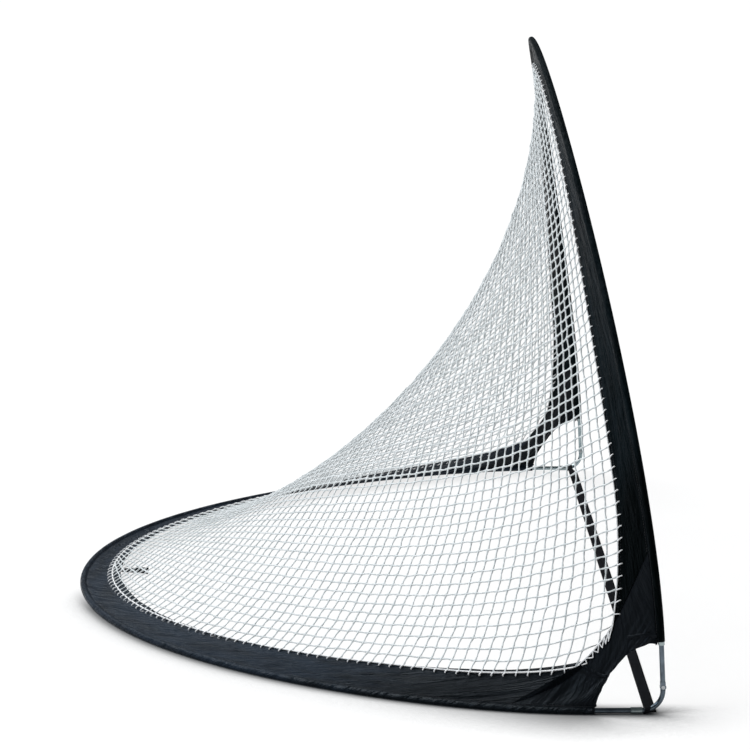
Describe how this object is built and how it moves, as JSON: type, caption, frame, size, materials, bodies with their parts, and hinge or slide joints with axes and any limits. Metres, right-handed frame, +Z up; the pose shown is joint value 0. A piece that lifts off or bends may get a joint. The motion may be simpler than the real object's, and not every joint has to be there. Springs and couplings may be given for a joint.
{
  "type": "chipping net",
  "caption": "Pop-up target net: a folding upright hoop and a ground hoop in black sleeves with a white net pocket between them.",
  "frame": {"origin": "middle of the goal line strap's underside, on the ground", "axes": "+X along the goal line, +Y back under the net to the rear tip, +Z up"},
  "size_m": [1.843, 1.12, 1.1127],
  "materials": {
    "sleeve_fabric": "tightly woven coated nylon with a satin sheen",
    "gusset_fabric": "tightly woven coated nylon, doubled and stitched",
    "webbing": "flat woven polypropylene webbing",
    "net_twine": "soft braided white twine",
    "edge_cord": "braided white cord",
    "fibreglass": "smooth pultruded fibreglass rod",
    "tube_steel": "dark bright-plated steel tube",
    "collar_steel": "bright satin steel collar",
    "ferrule_steel": "satin steel tube",
    "pin_steel": "bright rivet head"
  },
  "bodies": {
    "ground_hoop": {"ground_rod_left": "fibreglass", "ground_rod_right": "fibreglass", "tip_ferrule": "ferrule_steel", "ground_end_tube_left": "tube_steel", "ground_end_tube_right": "tube_steel", "elbow_left": "tube_steel", "elbow_right": "tube_steel", "ground_coupling_left": "collar_steel", "ground_coupling_right": "collar_steel", "ground_rod_pocket": "sleeve_fabric", "ground_sleeve_band": "sleeve_fabric", "ground_net_cord": "edge_cord", "goal_line_strap": "webbing", "strap_loop_left": "webbing", "strap_loop_right": "webbing", "tip_tab": "webbing", "net": "net_twine", "corner_gusset_left": "gusset_fabric", "corner_gusset_right": "gusset_fabric"},
    "upright_hoop": {"upright_rod_left": "fibreglass", "upright_rod_right": "fibreglass", "crown_ferrule": "ferrule_steel", "upright_end_tube_left": "tube_steel", "upright_end_tube_right": "tube_steel", "fold_pin_left": "pin_steel", "fold_pin_right": "pin_steel", "upright_mouth_ring_left": "collar_steel", "upright_mouth_ring_right": "collar_steel", "upright_rod_pocket": "sleeve_fabric", "upright_sleeve_band": "sleeve_fabric", "upright_net_cord": "edge_cord"}
  },
  "joints": [
    {"name": "fold", "type": "hinge", "parent": "ground_hoop", "child": "upright_hoop", "pos_m": [0, -0.02, 0.049], "axis": [-1, 0, 0], "range_deg": [0, 80], "stiffness_Nm_per_rad": 3, "springref_deg": -40.11, "deforming": ["net", "corner_gusset_left", "corner_gusset_right", "upright_sleeve_band", "upright_net_cord"]}
  ]
}
